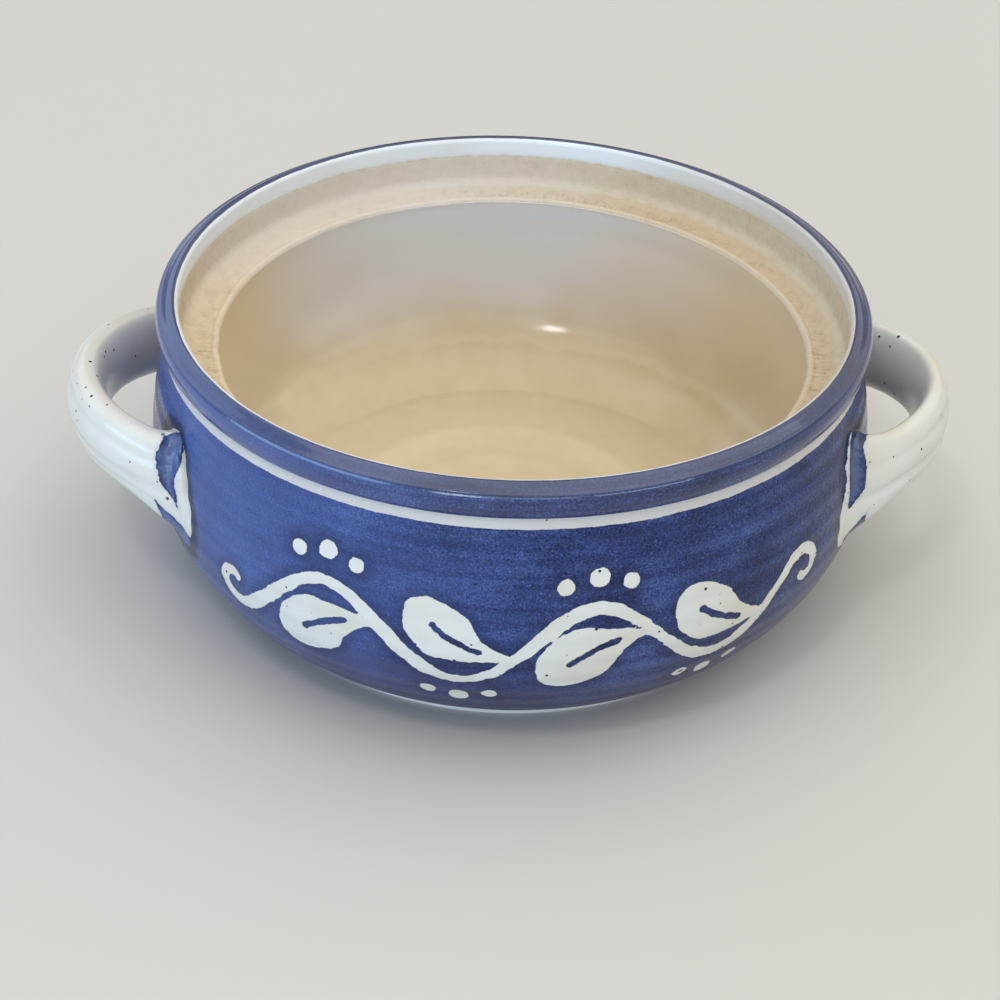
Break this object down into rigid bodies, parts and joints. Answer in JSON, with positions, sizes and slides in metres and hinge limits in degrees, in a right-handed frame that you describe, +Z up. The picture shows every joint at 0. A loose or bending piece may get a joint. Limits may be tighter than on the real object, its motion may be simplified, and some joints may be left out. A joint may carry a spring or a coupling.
{
  "type": "handled dip dish",
  "caption": "Round stoneware dip dish with a rolled blue rim, a bare seat inside the lip for a cover, a cream liner and a white strap handle on each side.",
  "frame": {"origin": "centre of the foot on the table, on the bowl's axis", "axes": "+X towards the handle on the right of the picture, +Y away from the viewer, +Z up along the bowl's axis"},
  "size_m": [0.1908, 0.1546, 0.0667],
  "materials": {
    "bare_clay": "bare fired stoneware, warm tan with brown flashing, dry and slightly gritty",
    "blue_glaze": "cobalt blue glaze, satin gloss, finely mottled, with white brushwork",
    "pale_line": "pale grey cream line, satin gloss",
    "rim_blue_glaze": "cobalt blue glaze, glossy, darker in the groove",
    "white_lip_glaze": "cool white glaze, glossy",
    "cream_liner": "cream liner glaze, glossy, with soft throwing rings",
    "white_glaze": "creamy white glaze, glossy, with small dark specks and blue dabs at the roots"
  },
  "bodies": {
    "root": {"bowl_body": "bare_clay", "belly_glaze": "blue_glaze", "line_band": "pale_line", "rim_glaze": "rim_blue_glaze", "lip_glaze": "white_lip_glaze", "liner_glaze": "cream_liner", "left_handle": "white_glaze", "right_handle": "white_glaze", "left_front_root": "white_glaze", "left_back_root": "white_glaze", "right_front_root": "white_glaze", "right_back_root": "white_glaze"}
  },
  "joints": []
}
